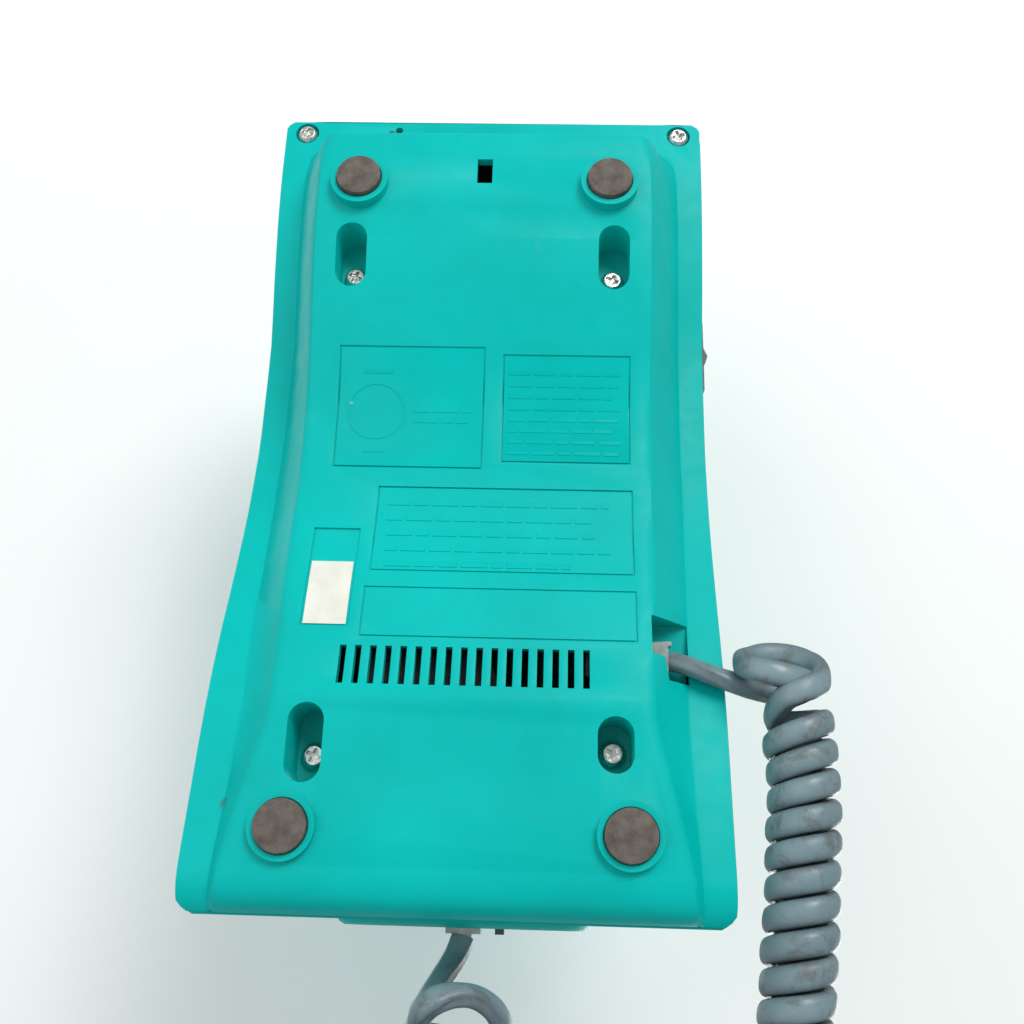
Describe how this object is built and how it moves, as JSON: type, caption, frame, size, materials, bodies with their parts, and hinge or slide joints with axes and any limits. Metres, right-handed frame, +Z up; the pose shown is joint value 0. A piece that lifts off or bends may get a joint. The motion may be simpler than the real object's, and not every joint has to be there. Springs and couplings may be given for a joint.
{
  "type": "slimline corded telephone",
  "caption": "Slimline corded telephone: arched cradle base with rubber feet, vents and side cord socket, dial-in handset resting on top, curly handset cord.",
  "frame": {"origin": "centre of the box of the phone with its handset seated, at the height of the feet's lower faces", "axes": "+Z up out of the desk, +Y towards the receiver end, -Y towards the transmitter end; the cord socket is on the -X side"},
  "size_m": [0.1444, 0.2816, 0.08],
  "materials": {
    "teal_shell": "satin moulded ABS, light wear",
    "foot_rubber": "matt",
    "screw_steel": "bright zinc plate",
    "label_paper": "matt",
    "board_brown": "satin",
    "board_green": "satin",
    "black_plastic": "satin",
    "transformer_tape": "satin",
    "capacitor_sleeve": "gloss",
    "grey_plastic": "satin",
    "steel_plate": "plain",
    "dark_grey_plastic": "satin",
    "cream_plastic": "satin",
    "mic_can": "satin",
    "grey_rubber": "matt",
    "key_plastic": "satin",
    "clear_plastic": "clear, slightly yellowed",
    "cord_jacket": "satin PVC, light soiling"
  },
  "bodies": {
    "base": {"base_bottom_cover": "teal_shell", "base_top_cover": "teal_shell", "rubber_feet": "foot_rubber", "case_screws": "screw_steel", "corner_screws": "screw_steel", "label_sticker": "label_paper", "base_circuit_board": "board_brown", "sounder": "black_plastic", "line_transformer": "transformer_tape", "board_capacitors": "capacitor_sleeve", "line_jack": "grey_plastic", "base_cord_jack": "black_plastic", "ballast_plate": "steel_plate", "ringer_switch_body": "black_plastic", "hook_switch_block": "cream_plastic", "hang_tab": "grey_plastic", "base_plug": "clear_plastic", "cord_lead_base": "cord_jacket", "cord_coil": "cord_jacket", "cord_lead_handset": "cord_jacket"},
    "handset": {"handset_back_shell": "teal_shell", "handset_face_shell": "teal_shell", "receiver_capsule": "black_plastic", "microphone_capsule": "mic_can", "handset_circuit_board": "board_green", "keypad_membrane": "grey_rubber", "handset_cord_jack": "black_plastic", "volume_slider_track": "black_plastic", "handset_weight": "steel_plate", "handset_screws": "screw_steel", "handset_plug": "clear_plastic"},
    "hook_plunger": {"hook_plunger": "black_plastic"},
    "ringer_switch": {"ringer_switch_knob": "dark_grey_plastic"},
    "volume_slider": {"volume_slider": "dark_grey_plastic"},
    "key_1": {"key_1": "key_plastic"},
    "key_2": {"key_2": "key_plastic"},
    "key_3": {"key_3": "key_plastic"},
    "key_4": {"key_4": "key_plastic"},
    "key_5": {"key_5": "key_plastic"},
    "key_6": {"key_6": "key_plastic"},
    "key_7": {"key_7": "key_plastic"},
    "key_8": {"key_8": "key_plastic"},
    "key_9": {"key_9": "key_plastic"},
    "key_star": {"key_star": "key_plastic"},
    "key_0": {"key_0": "key_plastic"},
    "key_hash": {"key_hash": "key_plastic"},
    "key_redial": {"key_redial": "key_plastic"},
    "key_flash": {"key_flash": "key_plastic"}
  },
  "joints": [
    {"name": "handset_lift", "type": "slide", "parent": "base", "child": "handset", "axis": [0, 0, 1], "range_m": [0, 0.06]},
    {"name": "hook_plunger_travel", "type": "slide", "parent": "base", "child": "hook_plunger", "axis": [0, 0, 1], "range_m": [0, 0.0038]},
    {"name": "ringer_switch_slide", "type": "slide", "parent": "base", "child": "ringer_switch", "axis": [0, 1, 0], "range_m": [-0.0025, 0.0025]},
    {"name": "volume_slide", "type": "slide", "parent": "handset", "child": "volume_slider", "axis": [-1, 0, 0], "range_m": [0, 0.004]},
    {"name": "key_1_press", "type": "slide", "parent": "handset", "child": "key_1", "axis": [0, 0, 1], "range_m": [0, 0.0012], "stiffness_N_per_m": 400, "springref_m": -0.0006},
    {"name": "key_2_press", "type": "slide", "parent": "handset", "child": "key_2", "axis": [0, 0, 1], "range_m": [0, 0.0012], "stiffness_N_per_m": 400, "springref_m": -0.0006},
    {"name": "key_3_press", "type": "slide", "parent": "handset", "child": "key_3", "axis": [0, 0, 1], "range_m": [0, 0.0012], "stiffness_N_per_m": 400, "springref_m": -0.0006},
    {"name": "key_4_press", "type": "slide", "parent": "handset", "child": "key_4", "axis": [0, 0, 1], "range_m": [0, 0.0012], "stiffness_N_per_m": 400, "springref_m": -0.0006},
    {"name": "key_5_press", "type": "slide", "parent": "handset", "child": "key_5", "axis": [0, 0, 1], "range_m": [0, 0.0012], "stiffness_N_per_m": 400, "springref_m": -0.0006},
    {"name": "key_6_press", "type": "slide", "parent": "handset", "child": "key_6", "axis": [0, 0, 1], "range_m": [0, 0.0012], "stiffness_N_per_m": 400, "springref_m": -0.0006},
    {"name": "key_7_press", "type": "slide", "parent": "handset", "child": "key_7", "axis": [0, 0, 1], "range_m": [0, 0.0012], "stiffness_N_per_m": 400, "springref_m": -0.0006},
    {"name": "key_8_press", "type": "slide", "parent": "handset", "child": "key_8", "axis": [0, 0, 1], "range_m": [0, 0.0012], "stiffness_N_per_m": 400, "springref_m": -0.0006},
    {"name": "key_9_press", "type": "slide", "parent": "handset", "child": "key_9", "axis": [0, 0, 1], "range_m": [0, 0.0012], "stiffness_N_per_m": 400, "springref_m": -0.0006},
    {"name": "key_star_press", "type": "slide", "parent": "handset", "child": "key_star", "axis": [0, 0, 1], "range_m": [0, 0.0012], "stiffness_N_per_m": 400, "springref_m": -0.0006},
    {"name": "key_0_press", "type": "slide", "parent": "handset", "child": "key_0", "axis": [0, 0, 1], "range_m": [0, 0.0012], "stiffness_N_per_m": 400, "springref_m": -0.0006},
    {"name": "key_hash_press", "type": "slide", "parent": "handset", "child": "key_hash", "axis": [0, 0, 1], "range_m": [0, 0.0012], "stiffness_N_per_m": 400, "springref_m": -0.0006},
    {"name": "key_redial_press", "type": "slide", "parent": "handset", "child": "key_redial", "axis": [0, 0, 1], "range_m": [0, 0.0012], "stiffness_N_per_m": 400, "springref_m": -0.0006},
    {"name": "key_flash_press", "type": "slide", "parent": "handset", "child": "key_flash", "axis": [0, 0, 1], "range_m": [0, 0.0012], "stiffness_N_per_m": 400, "springref_m": -0.0006}
  ],
  "couplings": [
    {"joint": "hook_plunger_travel", "follows": "handset_lift", "ratio": 0.0633}
  ]
}
